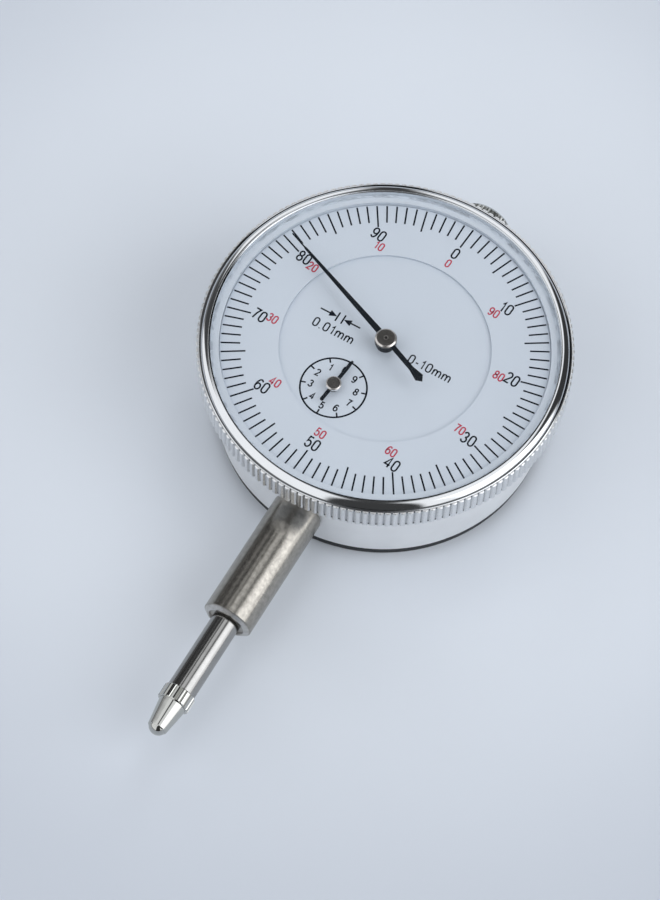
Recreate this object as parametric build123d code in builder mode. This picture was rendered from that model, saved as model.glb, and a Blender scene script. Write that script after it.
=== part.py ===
from build123d import *
from math import atan2, cos, degrees, pi, radians, sin
import os

# Dial indicator, 0-10 mm travel, 0.01 mm reading, in millimetres.
# Z is the dial's axis, pointing out of the dial. The flat back lies on z = 0.
# The stem points along -Y and the lift knob along +Y.

# Travel and gearing: one turn of the centre pointer is 1 mm of plunger.
TRAVEL = 10.0
RACK_PINION_TEETH = 16
WHEEL_TEETH = 100
CENTRE_PINION_TEETH = 10
RACK_PITCH = TRAVEL / RACK_PINION_TEETH
ARBOR_DISTANCE = 10.5

# Stem line
STEM_Z = 8.1
STEM_RADIUS = 4.0
STEM_END = -47.6
STEM_SHOULDER = -25.6
STEM_SHANK = 3.6
STEM_RELIEF = 3.8
STEM_RELIEF_START = -26.3
PLUNGER_RADIUS = 2.25
PLUNGER_END = -60.7
PLUNGER_FIT = 0.05
KNOB_START = 28.3
KNOB_END = 34.2
KNOB_RADIUS = 4.4
BALL_RADIUS = 1.5
TIP_END = -68.35

# Case and bezel
CASE_RADIUS = 26.1
CASE_WALL = 2.0
BACK_THICKNESS = 2.15
CASE_TOP = 18.25
BEZEL_FIT = 0.08
BEZEL_RADIUS = 28.9
BEZEL_BOTTOM = 16.0
BEZEL_SHOULDER = 20.25
LIP_TOP = 20.9
LIP_INNER = 26.75
KNURL_TEETH = 160
KNURL_GROOVE = ((0.08, 0.47), (-0.1, 0.22), (-0.33, 0.1))
BEZEL_EDGE = 0.2
LIP_ROUNDING = 0.25
GROOVE_Z = 17.2
GROOVE_HALF = 0.4

# Dial
SCALE_TOP = 19.2
SCALE_THICKNESS = 0.3
SCALE_RADIUS = 25.3
SCALE_HOLE = 16.3
DISC_TOP = 18.83
DISC_THICKNESS = 0.4
DISC_RADIUS = 17.5
CRYSTAL_SEAT = 19.9
CRYSTAL_APEX = 24.6
CRYSTAL_THICKNESS = 1.1

# Movement plates and what stands between them
LOWER_PLATE = (12.4, 13.6)
UPPER_PLATE = (16.6, 17.6)
LOWER_PLATE_RADIUS = 22.8
UPPER_PLATE_RADIUS = 20.6
PILLAR_CIRCLE = 18.5
PILLAR_ANGLES = (5, 105, 185, 300)
LUG_CIRCLE = 21.8
LUG_RADIUS = 2.4
LUG_ANGLES = (45, 135, 225, 315)
POST_CIRCLE = 12.5
POST_ANGLES = (80, 190, 320)
BRIDGE = (3.4, 4.4)
BRIDGE_PILLARS = ((-9.5, -14.8), (-9.5, -5.0))
PIVOT_RADIUS = 0.35
SHAFT_RADIUS = 0.5
SHAFT_FIT = 0.04

# Gear train: first arbor by the rack, centre arbor, hairspring arbor
RACK_MODULE = RACK_PITCH / pi
TRAIN_MODULE = 2 * ARBOR_DISTANCE / (WHEEL_TEETH + CENTRE_PINION_TEETH)
RACK_LINE = -1.8085
FIRST_X = RACK_LINE - RACK_MODULE * RACK_PINION_TEETH / 2
FIRST_Y = -((ARBOR_DISTANCE**2 - FIRST_X**2) ** 0.5)
FIRST_DIRECTION = degrees(atan2(-FIRST_Y, -FIRST_X))
HAIR_DIRECTION = FIRST_DIRECTION - 180 / CENTRE_PINION_TEETH
HAIR_X = ARBOR_DISTANCE * cos(radians(HAIR_DIRECTION))
HAIR_Y = ARBOR_DISTANCE * sin(radians(HAIR_DIRECTION))
FIRST_WHEEL = (14.0, 14.6)
HAIR_WHEEL = (15.6, 16.2)
CENTRE_LEAVES = (13.9, 16.3)

# Pointers
POINTER_BEARING = 293.3
POINTER_TIP = 23.9
POINTER_TAIL = 9.1
POINTER_Z = 21.9
POINTER_DROOP = 3.2
POINTER_HUB = (20.8, 22.25)
POINTER_CORE = 0.8
SMALL_POINTER_BEARING = 6.0
SMALL_POINTER_TIP = 5.0
SMALL_POINTER_Z = 19.8

# Return spring, hairspring and the pin that keeps the plunger from turning
GUIDE_Y = 2.0
GUIDE_RADIUS = 0.8
RAIL_X = (3.2, 4.2)
SPRING_X = 6.2
ANCHOR_Y = -18.0
SPRING_RADIUS = 1.05
SPRING_WIRE = 0.18
SPRING_PITCH = 0.6
SPRING_WAIST = 0.45
SPRING_LOOP = SPRING_RADIUS - SPRING_WIRE - SPRING_WAIST - 0.05
RAIL_Y = (-0.8, 14.6)
RAIL_FLANGE = 11.4
RAIL_SCREWS = ((7.0, 1.2), (7.0, 13.2))
HAIR_STUD = (HAIR_X + 5.2, HAIR_Y)

STEM_AXIS = Axis((0, 0, STEM_Z), (0, 1, 0))
STEM_LAYER = Plane.XY.offset(STEM_Z)
os.makedirs("parts", exist_ok=True)


def write_node(piece, name):
    """Label a finished piece and write it as its own STEP file."""
    piece.part.label = name
    export_step(piece.part, f"parts/{name}.step")


def across_stem(y):
    """A plane square to the stem at this y, facing +Y."""
    return Plane(origin=(0, y, STEM_Z), x_dir=(1, 0, 0), z_dir=(0, 1, 0))


def turned_about_dial(points):
    """A body of revolution about the dial's axis from (radius, z) points."""
    with BuildPart() as piece:
        with BuildSketch(Plane.XZ):
            with BuildLine():
                Polyline(*points, close=True)
            make_face()
        revolve(axis=Axis.Z)
    return piece


def turned_about_stem(points):
    """A body of revolution about the stem's axis from (radius, y) points."""
    with BuildPart() as piece:
        with BuildSketch(STEM_LAYER):
            with BuildLine():
                Polyline(*points, close=True)
            make_face()
        revolve(axis=STEM_AXIS)
    return piece


def columns(places, radius, bottom, top, bore=0.0):
    """Upright pins, pillars or bushes, one at each (x, y) place."""
    with BuildPart() as piece:
        with BuildSketch(Plane.XY.offset(bottom)):
            with Locations(*places):
                Circle(radius)
                if bore:
                    Circle(bore, mode=Mode.SUBTRACT)
        extrude(amount=top - bottom)
    return piece


def circle_places(radius, angles):
    """Points on a circle about the dial's axis, angles from +X."""
    return [(radius * cos(radians(a)), radius * sin(radians(a))) for a in angles]


def stepped_arbor(x, y, steps):
    """An arbor of round steps: each is (bottom, top, radius)."""
    with BuildPart() as piece:
        for bottom, top, radius in steps:
            with BuildSketch(Plane.XY.offset(bottom)):
                with Locations((x, y)):
                    Circle(radius)
            extrude(amount=top - bottom)
    return piece


def tooth_points(module):
    """One gear tooth as a closed outline, from its pitch point outward along +X."""
    pitch = pi * module
    root, tip = -1.25 * module - 0.1, 0.85 * module
    half_root, half_pitch, half_tip = 0.25 * pitch, 0.21 * pitch, 0.08 * pitch
    return [(root, -half_root), (0, -half_pitch), (tip, -half_tip),
            (tip, half_tip), (0, half_pitch), (root, half_root)]


def toothed_wheel(place, teeth, module, first_tooth, bottom, top, bore=0.0, windows=0):
    """A spur gear with its first tooth at this angle from +X."""
    pitch_radius = teeth * module / 2
    with BuildPart() as piece:
        with BuildSketch(Plane(origin=(place[0], place[1], bottom))):
            Circle(pitch_radius - 1.25 * module)
            with PolarLocations(pitch_radius, teeth, start_angle=first_tooth):
                Polygon(*tooth_points(module), align=None)
            if windows:
                with PolarLocations(pitch_radius * 0.56, windows, start_angle=first_tooth):
                    Circle(pitch_radius * 0.2, mode=Mode.SUBTRACT)
            if bore:
                Circle(bore, mode=Mode.SUBTRACT)
        extrude(amount=top - bottom)
    return piece


def screws(places, head_radius, head, seat, end, shank_radius):
    """Slotted screws along Z: head from seat to head, shank from seat to end."""
    outward = 1 if head > seat else -1
    with BuildPart() as piece:
        with BuildSketch(Plane.XY.offset(min(seat, head))):
            with Locations(*places):
                Circle(head_radius)
        extrude(amount=abs(head - seat))
        with BuildSketch(Plane.XY.offset(min(seat, end))):
            with Locations(*places):
                Circle(shank_radius)
        extrude(amount=abs(seat - end))
        with BuildSketch(Plane.XY.offset(head)):
            with Locations(*places):
                Rectangle(2 * head_radius + 0.2, 0.3)
        extrude(amount=-outward * 0.45 * abs(head - seat), mode=Mode.SUBTRACT)
    return piece


def make_case():
    """Cup wall with lugs, the stem boss and the upper bush boss."""
    inner = CASE_RADIUS - CASE_WALL
    stem_block = (5.2, -24.8, -19.2, 4.0, 12.3)
    bush_block = (4.2, 20.5, 24.8, 4.6, 11.8)
    with BuildPart() as case:
        with BuildSketch(Plane.XY.offset(BACK_THICKNESS)):
            Circle(CASE_RADIUS)
            Circle(inner, mode=Mode.SUBTRACT)
        extrude(amount=CASE_TOP - BACK_THICKNESS)
        with BuildSketch(Plane.XY.offset(BACK_THICKNESS)):
            with Locations(*circle_places(LUG_CIRCLE, LUG_ANGLES)):
                Circle(LUG_RADIUS)
        extrude(amount=LOWER_PLATE[0] - BACK_THICKNESS)
        for half_width, y0, y1, z0, z1 in (stem_block, bush_block):
            with BuildSketch(Plane.XY.offset(z0)):
                with Locations((0, (y0 + y1) / 2)):
                    Rectangle(2 * half_width, y1 - y0)
            extrude(amount=z1 - z0)
        with BuildSketch(across_stem(-CASE_RADIUS - 1)):
            Circle(STEM_RELIEF)
        extrude(amount=CASE_RADIUS + 1 + STEM_SHOULDER, mode=Mode.SUBTRACT)
        with BuildSketch(across_stem(STEM_SHOULDER)):
            Circle(STEM_SHANK)
        extrude(amount=7, mode=Mode.SUBTRACT)
        with BuildSketch(across_stem(20)):
            Circle(3.0)
        extrude(amount=CASE_RADIUS - 19, mode=Mode.SUBTRACT)
        with BuildSketch(Plane.XY.offset(BACK_THICKNESS)):
            with Locations(*circle_places(LUG_CIRCLE, LUG_ANGLES)):
                Circle(1.0)
        extrude(amount=LOWER_PLATE[0] - BACK_THICKNESS, mode=Mode.SUBTRACT)
        with BuildSketch(Plane.XY.offset(GROOVE_Z - GROOVE_HALF)):
            Circle(CASE_RADIUS + 1)
            Circle(CASE_RADIUS - GROOVE_HALF, mode=Mode.SUBTRACT)
        extrude(amount=2 * GROOVE_HALF, mode=Mode.SUBTRACT)
    return case


def make_back_cover():
    """Flat back disc with four countersunk holes over the case lugs."""
    profile = [(0, 0), (25.5, 0), (25.8, 0.3), (CASE_RADIUS, BACK_THICKNESS - 0.25),
               (CASE_RADIUS, BACK_THICKNESS), (0, BACK_THICKNESS)]
    with BuildPart() as back_cover:
        with BuildSketch(Plane.XZ):
            with BuildLine():
                Polyline(*profile, close=True)
            make_face()
        revolve(axis=Axis.Z)
        with Locations(Plane(origin=(0, 0, 0), x_dir=(1, 0, 0), z_dir=(0, 0, -1))):
            with PolarLocations(LUG_CIRCLE, 4, start_angle=LUG_ANGLES[0]):
                CounterSinkHole(radius=1.0, counter_sink_radius=2.0)
    return back_cover


def make_back_cover_screws():
    """Countersunk screws, their heads a little below the back face."""
    sunk, head, shank, end = 0.12, 1.85, 1.0, 6.4
    with BuildPart() as back_cover_screws:
        for x, y in circle_places(LUG_CIRCLE, LUG_ANGLES):
            with BuildSketch(Plane(origin=(x, y, 0), x_dir=(1, 0, 0), z_dir=(0, -1, 0))):
                with BuildLine():
                    Polyline((0, sunk), (head, sunk), (shank, sunk + head - shank),
                             (shank, end), (0, end), close=True)
                make_face()
            revolve(axis=Axis((x, y, 0), (0, 0, 1)))
            with BuildSketch(Plane.XY.offset(sunk)):
                with Locations((x, y)):
                    Rectangle(2.6, 0.45)
                    Rectangle(0.45, 2.6)
            extrude(amount=0.5, mode=Mode.SUBTRACT)
    return back_cover_screws


def make_stem():
    """Clamping stem with a relieved shoulder, a pressed shank and a seat for the lower bush."""
    bore, seat, seat_depth = 2.75, 3.0, 8.0
    chamfer_width, chamfer_length = 0.7, 0.5
    shank_end = -19.4
    return turned_about_stem([
        (seat, STEM_END), (STEM_RADIUS - chamfer_width, STEM_END),
        (STEM_RADIUS, STEM_END + chamfer_length), (STEM_RADIUS, STEM_RELIEF_START),
        (STEM_RELIEF, STEM_RELIEF_START), (STEM_RELIEF, STEM_SHOULDER),
        (STEM_SHANK, STEM_SHOULDER), (STEM_SHANK, shank_end), (bore, shank_end),
        (bore, STEM_END + seat_depth), (seat, STEM_END + seat_depth)])


def make_stem_bush():
    """Lower guide bush, set 0.45 mm inside the stem's end."""
    inner = PLUNGER_RADIUS + PLUNGER_FIT
    return turned_about_stem([(inner, STEM_END + 0.45), (3.0, STEM_END + 0.45),
                              (3.0, STEM_END + 8.0), (inner, STEM_END + 8.0)])


def make_upper_bush():
    """Upper guide bush through the case wall; the knob stops against it."""
    inner = PLUNGER_RADIUS + PLUNGER_FIT
    return turned_about_stem([(inner, 21.0), (3.0, 21.0), (3.0, 27.8), (2.8, 28.0), (inner, 28.0)])


def make_lower_plate():
    """Main plate on the case lugs, bored for arbors, pillars and screws."""
    with BuildPart() as lower_plate:
        with BuildSketch(Plane.XY.offset(LOWER_PLATE[0])):
            Circle(LOWER_PLATE_RADIUS)
            with Locations(*circle_places(LUG_CIRCLE, LUG_ANGLES)):
                Circle(LUG_RADIUS - 0.2)
                Circle(1.0, mode=Mode.SUBTRACT)
            with Locations(*circle_places(PILLAR_CIRCLE, PILLAR_ANGLES)):
                Circle(0.7, mode=Mode.SUBTRACT)
            with Locations((0, 0), (FIRST_X, FIRST_Y), (HAIR_X, HAIR_Y)):
                Circle(1.3, mode=Mode.SUBTRACT)
            with Locations(*BRIDGE_PILLARS):
                Circle(0.9, mode=Mode.SUBTRACT)
            with Locations(*RAIL_SCREWS):
                Circle(0.7, mode=Mode.SUBTRACT)
            with Locations((SPRING_X, ANCHOR_Y)):
                Circle(0.5, mode=Mode.SUBTRACT)
            with Locations(HAIR_STUD):
                Circle(0.4, mode=Mode.SUBTRACT)
            with Locations((-12, 7), (13.5, -3)):
                Circle(4.0, mode=Mode.SUBTRACT)
        extrude(amount=LOWER_PLATE[1] - LOWER_PLATE[0])
    return lower_plate


def make_upper_plate():
    """Top plate of the movement, bored for arbors, pillars and dial posts."""
    with BuildPart() as upper_plate:
        with BuildSketch(Plane.XY.offset(UPPER_PLATE[0])):
            Circle(UPPER_PLATE_RADIUS)
            with Locations(*circle_places(PILLAR_CIRCLE, PILLAR_ANGLES)):
                Circle(0.7, mode=Mode.SUBTRACT)
            with Locations((0, 0), (FIRST_X, FIRST_Y), (HAIR_X, HAIR_Y)):
                Circle(1.3, mode=Mode.SUBTRACT)
            with Locations(*circle_places(POST_CIRCLE, POST_ANGLES)):
                Circle(0.8, mode=Mode.SUBTRACT)
        extrude(amount=UPPER_PLATE[1] - UPPER_PLATE[0])
    return upper_plate


def make_bridge_pillars():
    """Pillars from the rear bridge up to the main plate, with riveted ends."""
    with BuildPart() as bridge_pillars:
        for bottom, top, radius in ((BRIDGE[1], LOWER_PLATE[0], 1.6), LOWER_PLATE + (0.9,)):
            with BuildSketch(Plane.XY.offset(bottom)):
                with Locations(*BRIDGE_PILLARS):
                    Circle(radius)
            extrude(amount=top - bottom)
        with BuildSketch(Plane.XY.offset(BRIDGE[1])):
            with Locations(*BRIDGE_PILLARS):
                Circle(0.7)
        extrude(amount=3.0, mode=Mode.SUBTRACT)
    return bridge_pillars


def make_rear_bridge():
    """Three-armed bridge that carries the first arbor's lower pivot."""
    with BuildPart() as rear_bridge:
        with BuildSketch(Plane.XY.offset(BRIDGE[0])):
            with Locations(*BRIDGE_PILLARS, (FIRST_X, FIRST_Y)):
                Circle(2.1)
            make_hull()
            with Locations(*BRIDGE_PILLARS):
                Circle(0.7, mode=Mode.SUBTRACT)
            with Locations((FIRST_X, FIRST_Y)):
                Circle(1.1, mode=Mode.SUBTRACT)
            with Locations((-7.9, FIRST_Y)):
                Circle(1.4, mode=Mode.SUBTRACT)
        extrude(amount=BRIDGE[1] - BRIDGE[0])
    return rear_bridge


def make_guide_rail():
    """Slotted upright plate and its flange, screwed under the main plate."""
    y0, y1 = RAIL_Y
    flange_x = 9.0
    slot_start, slot_end = GUIDE_Y - 0.2, GUIDE_Y + TRAVEL + 0.2
    slot_radius = GUIDE_RADIUS + 0.05
    with BuildPart() as guide_rail:
        with BuildSketch(Plane.XY.offset(5.2)):
            with Locations(((RAIL_X[0] + RAIL_X[1]) / 2, (y0 + y1) / 2)):
                Rectangle(RAIL_X[1] - RAIL_X[0], y1 - y0)
        extrude(amount=LOWER_PLATE[0] - 5.2)
        with BuildSketch(Plane.XY.offset(RAIL_FLANGE)):
            with Locations(((RAIL_X[0] + flange_x) / 2, (y0 + y1) / 2)):
                Rectangle(flange_x - RAIL_X[0], y1 - y0)
        extrude(amount=LOWER_PLATE[0] - RAIL_FLANGE)
        with BuildSketch(Plane(origin=(RAIL_X[0] - 1, 0, STEM_Z), x_dir=(0, 1, 0), z_dir=(1, 0, 0))):
            with Locations(((slot_start + slot_end) / 2, 0)):
                SlotCenterToCenter(slot_end - slot_start, 2 * slot_radius)
        extrude(amount=3, mode=Mode.SUBTRACT)
        with BuildSketch(Plane.XY.offset(RAIL_FLANGE)):
            with Locations(*RAIL_SCREWS, (HAIR_X, HAIR_Y)):
                Circle(0.7)
        extrude(amount=LOWER_PLATE[0] - RAIL_FLANGE, mode=Mode.SUBTRACT)
    return guide_rail


def make_spring_anchor():
    """Hanging post with a waist that holds the fixed end of the spring."""
    return stepped_arbor(SPRING_X, ANCHOR_Y, [
        (STEM_Z - 1.1, STEM_Z - 0.4, 0.75), (STEM_Z - 0.4, STEM_Z + 0.4, SPRING_WAIST),
        (STEM_Z + 0.4, LOWER_PLATE[0], 0.75), LOWER_PLATE + (0.5,)])



def make_measuring_spring():
    """Tension spring with a loop at each end, as it is with the plunger down."""
    first_loop, last_loop = ANCHOR_Y + SPRING_LOOP, GUIDE_Y - SPRING_LOOP
    first, last = first_loop + SPRING_RADIUS, last_loop - SPRING_RADIUS
    with BuildPart() as measuring_spring:
        with BuildLine() as coil:
            Helix(SPRING_PITCH, last - first, SPRING_RADIUS,
                  center=(SPRING_X, first, STEM_Z), direction=(0, 1, 0))
        with BuildSketch(Plane(origin=coil.line @ 0, z_dir=coil.line % 0)):
            Circle(SPRING_WIRE)
        sweep(is_frenet=True)
        with Locations(Plane(origin=(SPRING_X, first_loop, STEM_Z), z_dir=(0, 0, 1))):
            Torus(SPRING_RADIUS, SPRING_WIRE)
        with Locations(Plane(origin=(SPRING_X, last_loop, STEM_Z), z_dir=(1, 0, 0))):
            Torus(SPRING_RADIUS, SPRING_WIRE)
    return measuring_spring


def make_hairspring():
    """Flat spiral in half-circle steps from the collet out to the stud."""
    start, turns, depth, thickness = 1.0, 6, 0.5, 0.1
    step = (HAIR_STUD[0] - HAIR_X - start) / (2 * turns)
    with BuildPart() as hairspring:
        with BuildLine(Plane(origin=(HAIR_X, HAIR_Y, FIRST_WHEEL[0] + 0.35))) as spiral:
            side = 1
            for half_turn in range(2 * turns):
                near = start + half_turn * step
                far = near + step
                centre = side * (near - far) / 2
                middle = (centre, side * (near + far) / 2)
                ThreePointArc((side * near, 0), middle, (-side * far, 0))
                side = -side
        with BuildSketch(Plane(origin=spiral.line @ 0, x_dir=(1, 0, 0), z_dir=spiral.line % 0)):
            Rectangle(thickness, depth)
        sweep()
    return hairspring


def make_bezel():
    """Knurled bezel: snap-ring groove, scale ledge, crystal seat, convex lip."""
    bore = CASE_RADIUS + BEZEL_FIT
    ledge = SCALE_TOP - SCALE_THICKNESS
    ring_inner, ring_outer = 28.12, 28.5
    body = BEZEL_SHOULDER - 0.12
    with BuildPart() as bezel:
        with BuildSketch(Plane.XZ):
            with BuildLine():
                Polyline((ring_inner, BEZEL_SHOULDER - 0.1), (ring_inner, body), (ring_inner, ledge),
                         (ring_inner, BEZEL_BOTTOM), (bore, BEZEL_BOTTOM), (bore, ledge - 0.5),
                         (23.5, ledge - 0.5), (23.5, ledge), (SCALE_RADIUS + 0.1, ledge),
                         (SCALE_RADIUS + 0.1, CRYSTAL_SEAT), (LIP_INNER, CRYSTAL_SEAT),
                         (LIP_INNER, LIP_TOP - LIP_ROUNDING))
                ThreePointArc((LIP_INNER, LIP_TOP - LIP_ROUNDING),
                              (LIP_INNER + 0.29 * LIP_ROUNDING, LIP_TOP - 0.29 * LIP_ROUNDING),
                              (LIP_INNER + LIP_ROUNDING, LIP_TOP))
                ThreePointArc((LIP_INNER + LIP_ROUNDING, LIP_TOP), (27.68, LIP_TOP - 0.19),
                              (ring_inner, BEZEL_SHOULDER - 0.1))
            make_face()
        revolve(axis=Axis.Z)
        with BuildSketch(Plane.XY.offset(BEZEL_BOTTOM)):
            Circle(BEZEL_RADIUS)
            Circle(ring_inner - 0.2, mode=Mode.SUBTRACT)
        extrude(amount=body - BEZEL_BOTTOM)
        with BuildSketch(Plane.XY.offset(body)):
            Circle(ring_outer)
            Circle(ring_inner + 0.06, mode=Mode.SUBTRACT)
        extrude(amount=BEZEL_SHOULDER - body)
        with BuildSketch(Plane.XY.offset(GROOVE_Z - GROOVE_HALF)):
            Circle(bore + GROOVE_HALF)
        extrude(amount=2 * GROOVE_HALF, mode=Mode.SUBTRACT)
        with BuildSketch(Plane.XZ):
            for edge, inside in ((body, -1), (BEZEL_BOTTOM, 1)):
                Polygon((BEZEL_RADIUS - BEZEL_EDGE, edge), (BEZEL_RADIUS + 0.1, edge - 0.1 * inside),
                        (BEZEL_RADIUS + 0.1, edge + inside * (BEZEL_EDGE + 0.1)),
                        (BEZEL_RADIUS, edge + inside * BEZEL_EDGE), align=None)
        revolve(axis=Axis.Z, mode=Mode.SUBTRACT)
        right_side = [(out, half_width) for out, half_width in KNURL_GROOVE]
        left_side = [(out, -half_width) for out, half_width in reversed(KNURL_GROOVE)]
        with BuildSketch(Plane.XY.offset(BEZEL_BOTTOM)):
            with PolarLocations(BEZEL_RADIUS, KNURL_TEETH):
                Polygon(*right_side, *left_side, align=None)
        extrude(amount=body - BEZEL_BOTTOM, mode=Mode.SUBTRACT)
    return bezel


def make_snap_ring():
    """Open wire ring that holds the bezel on the case and lets it turn."""
    with BuildPart() as snap_ring:
        with BuildSketch(Plane.XZ):
            with Locations((CASE_RADIUS + BEZEL_FIT / 2, GROOVE_Z)):
                Circle(0.33)
        revolve(axis=Axis.Z, revolution_arc=350)
    return snap_ring


def dome_middle(edge_radius, edge_z, apex):
    """The point halfway out on a spherical dome, for its arc."""
    sag = apex - edge_z
    sphere = (edge_radius**2 + sag**2) / (2 * sag)
    half = edge_radius / 2
    return half, apex - sphere + (sphere**2 - half**2) ** 0.5


def make_crystal():
    """Shallow domed crystal with a flat rim in the bezel."""
    rim, inner = LIP_INNER - 0.03, SCALE_RADIUS
    rim_top = LIP_TOP - 0.05
    inner_edge, inner_apex = 20.6, CRYSTAL_APEX - CRYSTAL_THICKNESS
    with BuildPart() as crystal:
        with BuildSketch(Plane.XZ):
            with BuildLine():
                Line((0, inner_apex), (0, CRYSTAL_APEX))
                ThreePointArc((0, CRYSTAL_APEX), dome_middle(rim, rim_top, CRYSTAL_APEX), (rim, rim_top))
                Polyline((rim, rim_top), (rim, CRYSTAL_SEAT + 0.05), (inner, CRYSTAL_SEAT + 0.05),
                         (inner, inner_edge))
                ThreePointArc((inner, inner_edge), dome_middle(inner, inner_edge, inner_apex),
                              (0, inner_apex))
            make_face()
        revolve(axis=Axis.Z)
    return crystal


def make_dial_centre_disc():
    """Fixed middle of the dial, just under the scale ring."""
    with BuildPart() as dial_centre_disc:
        with BuildSketch(Plane.XY.offset(DISC_TOP - DISC_THICKNESS)):
            Circle(DISC_RADIUS)
            with Locations((0, 0), (FIRST_X, FIRST_Y)):
                Circle(0.75, mode=Mode.SUBTRACT)
        extrude(amount=DISC_THICKNESS)
    return dial_centre_disc


def make_dial_posts():
    """Posts under the fixed disc, riveted into the upper plate."""
    places = circle_places(POST_CIRCLE, POST_ANGLES)
    with BuildPart() as dial_posts:
        for bottom, top, radius in (UPPER_PLATE + (0.8,), (UPPER_PLATE[1], DISC_TOP - DISC_THICKNESS, 1.5)):
            with BuildSketch(Plane.XY.offset(bottom)):
                with Locations(*places):
                    Circle(radius)
            extrude(amount=top - bottom)
    return dial_posts


def make_rack_pinion():
    """First arbor: lower pivot, long pinion for the rack, shaft to the small hand."""
    leaves = (6.3, 9.9)
    arbor = stepped_arbor(FIRST_X, FIRST_Y, [
        (BRIDGE[0] + 0.1, 5.0, PIVOT_RADIUS), (5.0, leaves[0], 1.2), (leaves[1], 11.8, 1.2),
        (11.8, 12.3, 0.9), (12.3, SMALL_POINTER_Z + 0.4, SHAFT_RADIUS)])
    pinion = toothed_wheel((FIRST_X, FIRST_Y), RACK_PINION_TEETH, RACK_MODULE, 0, *leaves)
    with BuildPart() as rack_pinion:
        add(arbor.part)
        add(pinion.part)
    return rack_pinion


def make_first_wheel():
    """Hundred-tooth wheel and its hub on the first arbor."""
    wheel = toothed_wheel((FIRST_X, FIRST_Y), WHEEL_TEETH, TRAIN_MODULE, FIRST_DIRECTION,
                          *FIRST_WHEEL, bore=SHAFT_RADIUS, windows=5)
    hub = columns([(FIRST_X, FIRST_Y)], 1.5, FIRST_WHEEL[1], FIRST_WHEEL[1] + 0.8, bore=SHAFT_RADIUS)
    with BuildPart() as first_wheel:
        add(wheel.part)
        add(hub.part)
    return first_wheel


def make_hair_wheel():
    """Hundred-tooth wheel that the hairspring turns against the centre pinion."""
    return toothed_wheel((HAIR_X, HAIR_Y), WHEEL_TEETH, TRAIN_MODULE,
                         HAIR_DIRECTION + 180 + 180 / WHEEL_TEETH, *HAIR_WHEEL, bore=0.6, windows=5)


def make_hair_arbor():
    """Hairspring arbor between the two plates."""
    return stepped_arbor(HAIR_X, HAIR_Y, [
        (LOWER_PLATE[0] + 0.1, LOWER_PLATE[1] + 0.2, PIVOT_RADIUS),
        (LOWER_PLATE[1] + 0.2, UPPER_PLATE[0] - 0.1, 0.6),
        (UPPER_PLATE[0] - 0.1, UPPER_PLATE[1] - 0.1, PIVOT_RADIUS)])


def make_centre_pinion():
    """Centre arbor with ten leaves between the plates and a shaft to the hand."""
    arbor = stepped_arbor(0, 0, [
        (LOWER_PLATE[0] + 0.1, CENTRE_LEAVES[0], PIVOT_RADIUS),
        (CENTRE_LEAVES[1], POINTER_Z - 0.3, SHAFT_RADIUS)])
    first_leaf = FIRST_DIRECTION + 180 + 180 / CENTRE_PINION_TEETH
    leaves = toothed_wheel((0, 0), CENTRE_PINION_TEETH, TRAIN_MODULE, first_leaf, *CENTRE_LEAVES)
    with BuildPart() as centre_pinion:
        add(arbor.part)
        add(leaves.part)
    return centre_pinion


def pointer_plane(place, angle, droop=0.0):
    """A plane whose X runs out along a hand, drooping below the level."""
    out_x, out_y = cos(radians(angle)), sin(radians(angle))
    level, fall = cos(radians(droop)), sin(radians(droop))
    return Plane(origin=place, x_dir=(out_x * level, out_y * level, -fall),
                 z_dir=(out_x * fall, out_y * fall, level))


def make_pointer():
    """Main hand: flared tail, level boss, blade that droops to a fine tip."""
    angle = 90 - POINTER_BEARING
    with BuildPart() as pointer:
        with BuildSketch(pointer_plane((0, 0, POINTER_Z - 0.04), angle, POINTER_DROOP)):
            Polygon((0, -0.5), (20.4, -0.18), (20.9, -0.1), (POINTER_TIP, -0.08),
                    (POINTER_TIP, 0.08), (20.9, 0.1), (20.4, 0.18), (0, 0.5), align=None)
        extrude(amount=0.2)
        with BuildSketch(pointer_plane((0, 0, POINTER_Z - 0.1), angle + 180)):
            Polygon((0, -0.38), (6.4, -0.38), (8.3, -0.73), (POINTER_TAIL, 0), (8.3, 0.73),
                    (6.4, 0.38), (0, 0.38), align=None)
        extrude(amount=0.2)
        with BuildSketch(Plane.XY.offset(POINTER_Z - 0.15)):
            Circle(1.45)
        extrude(amount=0.3)
        with BuildSketch(Plane.XY.offset(POINTER_Z - 1)):
            Circle(POINTER_CORE)
        extrude(amount=2, mode=Mode.SUBTRACT)
    return pointer


def make_pointer_drum():
    """Dark drum of the main hand, between its hub and the dial."""
    return columns([(0, 0)], 1.45, SCALE_TOP + 0.85, POINTER_HUB[0], bore=SHAFT_RADIUS)


def make_pointer_hub():
    """Turned steel hub that grips the main hand between its collar and its cap, with a centre mark."""
    bottom, top = POINTER_HUB
    radius, hand_bottom, hand_top = 1.68, POINTER_Z - 0.15, POINTER_Z + 0.15
    return turned_about_dial([
        (0, POINTER_Z - 0.25), (SHAFT_RADIUS, POINTER_Z - 0.25), (SHAFT_RADIUS, bottom),
        (radius - 0.1, bottom), (radius, bottom + 0.1), (radius, hand_bottom),
        (POINTER_CORE, hand_bottom), (POINTER_CORE, hand_top), (radius, hand_top),
        (radius - 0.25, top), (0.28, top), (0, top - 0.2)])


def make_small_pointer():
    """Small hand: short blade and rounded tail."""
    place = (FIRST_X, FIRST_Y, SMALL_POINTER_Z - 0.1)
    with BuildPart() as small_pointer:
        with BuildSketch(pointer_plane(place, 90 - SMALL_POINTER_BEARING)):
            Polygon((-3.0, -0.28), (3.6, -0.28), (SMALL_POINTER_TIP, -0.17),
                    (SMALL_POINTER_TIP, 0.17), (3.6, 0.28), (-3.0, 0.28), align=None)
            with Locations((-3.0, 0)):
                Circle(0.3)
            Circle(1.0)
            Circle(SHAFT_RADIUS, mode=Mode.SUBTRACT)
        extrude(amount=0.2)
    return small_pointer


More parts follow.
